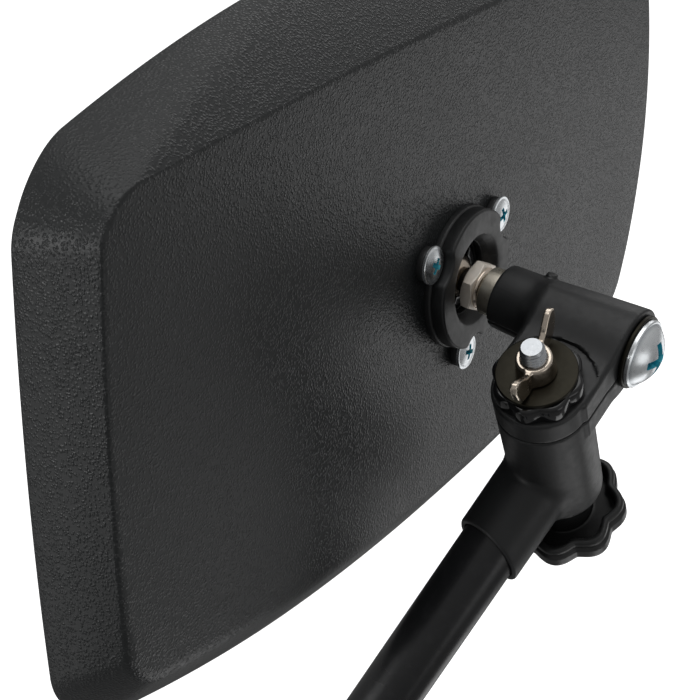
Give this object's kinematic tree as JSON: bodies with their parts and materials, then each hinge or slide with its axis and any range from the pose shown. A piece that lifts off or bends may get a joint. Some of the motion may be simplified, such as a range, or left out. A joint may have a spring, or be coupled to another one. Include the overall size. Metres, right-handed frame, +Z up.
{
  "type": "towing mirror",
  "caption": "Rectangular clip-on towing mirror with a grained shell on a ball joint, a clamped knuckle, a slanting tube and a screw clamp.",
  "frame": {"origin": "centre of the fixed jaw's rubber face, where it bears on the vehicle", "axes": "+Z up; the fixed jaw faces -Y and the back of the mirror head faces -Y; +X to the right seen from behind the head"},
  "size_m": [0.2642, 0.1059, 0.3171],
  "materials": {
    "shell": "leather-grained moulded plastic, satin",
    "black_plastic": "moulded plastic, satin",
    "gloss_black": "glossy moulded plastic",
    "mirror_glass": "silvered glass",
    "foam": "closed-cell foam tape",
    "zinc": "bright zinc plating",
    "nickel": "nickel plating, warm",
    "dark_washer": "dark oiled steel",
    "black_tube": "black powder coat",
    "black_casting": "black powder coat over a casting",
    "rubber": "moulded rubber",
    "bush": "natural acetal"
  },
  "bodies": {
    "clamp": {"clamp_frame": "black_casting", "fixed_pad": "rubber"},
    "lock": {"lock_screw": "zinc"},
    "jaw": {"moving_jaw": "black_casting", "moving_pad": "rubber"},
    "spindle": {"clamp_screw": "zinc", "spindle_knob": "black_plastic"},
    "bush": {"tube_bush": "bush"},
    "arm": {"tube": "black_tube", "tube_plug": "black_plastic", "lower_body": "black_plastic", "upper_body": "black_plastic", "lobed_spacer": "gloss_black", "flat_washer": "dark_washer"},
    "knob": {"star_knob": "black_plastic", "clamp_bolt": "zinc"},
    "wing": {"wing_nut": "nickel"},
    "stud": {"ball_stud": "nickel", "spacer_ring": "nickel", "end_screw": "zinc", "end_washer": "dark_washer"},
    "liner": {"socket_liner": "gloss_black"},
    "head": {"shell": "shell", "bezel": "black_plastic", "glass": "mirror_glass", "glass_pad": "foam", "glass_carrier": "black_plastic", "backing_plate": "zinc", "socket_base": "black_plastic", "retainer_ring": "black_plastic", "socket_cup": "black_plastic", "flange_screws": "zinc", "flange_nuts": "zinc"}
  },
  "joints": [
    {"name": "lock_turn", "type": "hinge", "parent": "clamp", "child": "lock", "pos_m": [-0.028, -0.013, 0.046], "axis": [-0.2668, -0.9329, -0.242], "continuous": true},
    {"name": "jaw_slide", "type": "slide", "parent": "clamp", "child": "jaw", "axis": [0, 1, 0], "range_m": [0, 0.024]},
    {"name": "spindle_turn", "type": "hinge", "parent": "jaw", "child": "spindle", "pos_m": [0, -0.06, 0], "axis": [0, 1, 0], "range_deg": [0, 5760]},
    {"name": "tube_turn", "type": "hinge", "parent": "clamp", "child": "bush", "pos_m": [-0.028, -0.013, 0.046], "axis": [-0.47, 0.3452, -0.8124], "range_deg": [-90, 90]},
    {"name": "tube_slide", "type": "slide", "parent": "bush", "child": "arm", "axis": [-0.47, 0.3452, -0.8124], "range_m": [0, 0.05]},
    {"name": "knob_turn", "type": "hinge", "parent": "arm", "child": "knob", "pos_m": [0.03728, -0.07204, 0.20159], "axis": [-0.5222, -0.0711, 0.8498], "continuous": true},
    {"name": "wing_turn", "type": "hinge", "parent": "arm", "child": "wing", "pos_m": [0.03728, -0.07204, 0.20159], "axis": [-0.5222, -0.0711, 0.8498], "continuous": true},
    {"name": "stud_turn", "type": "hinge", "parent": "arm", "child": "stud", "pos_m": [0.05979, -0.03397, 0.21861], "axis": [-0.0778, -0.9884, -0.1305], "range_deg": [-40, 5]},
    {"name": "ball_yaw", "type": "hinge", "parent": "stud", "child": "liner", "pos_m": [0.05979, -0.03397, 0.21861], "axis": [0, 0, 1], "range_deg": [-16.5, 7.5]},
    {"name": "ball_pitch", "type": "hinge", "parent": "liner", "child": "head", "pos_m": [0.05979, -0.03397, 0.21861], "axis": [1, 0, 0], "range_deg": [-4.5, 19.5]}
  ],
  "couplings": [
    {"joint": "spindle_turn", "follows": "jaw_slide", "rad_per_m": 4188.8}
  ]
}
